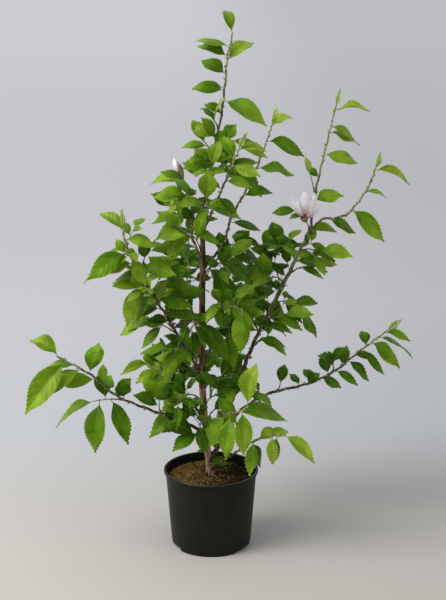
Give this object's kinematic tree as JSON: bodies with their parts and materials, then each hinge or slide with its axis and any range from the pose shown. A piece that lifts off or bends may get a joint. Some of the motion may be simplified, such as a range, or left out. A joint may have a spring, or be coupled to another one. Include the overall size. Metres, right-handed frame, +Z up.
{
  "type": "potted saucer magnolia shrub",
  "caption": "Young saucer magnolia shrub in a round nursery pot: slender trunk, spreading boughs, masses of broad pointed leaves and a pale blossom.",
  "frame": {"origin": "middle of the pot's flat underside", "axes": "+Z up along the trunk, -Y towards the front of the plant, +X to the right seen from the front"},
  "size_m": [0.9282, 0.4767, 1.286],
  "materials": {
    "bark": "matt grey-brown bark",
    "foliage": "satin green leaves",
    "pot_plastic": "satin near-black moulded plastic",
    "soil": "rough moist peat and bark mix"
  },
  "bodies": {
    "root": {"back_left_bough": "bark", "back_left_foliage": "foliage", "back_low_bough": "bark", "back_low_foliage": "foliage", "back_right_bough": "bark", "back_right_foliage": "foliage", "front_low_bough": "bark", "front_low_foliage": "foliage", "leader_foliage": "foliage", "left_main_bough": "bark", "left_main_foliage": "foliage", "low_left_bough": "bark", "low_left_foliage": "foliage", "low_left_spray_1": "foliage", "low_right_bough": "bark", "low_right_foliage": "foliage", "low_right_spray_1": "foliage", "low_right_spray_2": "foliage", "lowest_right_bough": "bark", "lowest_right_foliage": "foliage", "middle_left_bough": "bark", "middle_left_foliage": "foliage", "pot": "pot_plastic", "right_main_bough": "bark", "right_main_foliage": "foliage", "right_main_spray_1": "foliage", "right_main_spray_2": "foliage", "soil": "soil", "trunk": "bark", "trunk_spray_1": "foliage", "trunk_spray_2": "foliage", "trunk_spray_3": "foliage", "trunk_spray_4": "foliage", "trunk_spray_5": "foliage", "trunk_spray_6": "foliage", "trunk_spray_7": "foliage", "trunk_spray_8": "foliage", "trunk_spray_9": "foliage", "trunk_spray_10": "foliage", "trunk_spray_11": "foliage", "trunk_spray_12": "foliage", "trunk_spray_13": "foliage", "trunk_spray_14": "foliage", "trunk_spray_15": "foliage", "trunk_spray_16": "foliage", "trunk_spray_17": "foliage", "trunk_spray_18": "foliage", "trunk_spray_19": "foliage", "trunk_spray_20": "foliage", "trunk_spray_21": "foliage", "trunk_spray_22": "foliage", "trunk_spray_23": "foliage", "trunk_spray_24": "foliage", "trunk_spray_25": "foliage", "upper_left_bough": "bark", "upper_left_foliage": "foliage", "upper_middle_bough": "bark", "upper_middle_foliage": "foliage", "upper_right_bough": "bark", "upper_right_foliage": "foliage"}
  },
  "joints": []
}
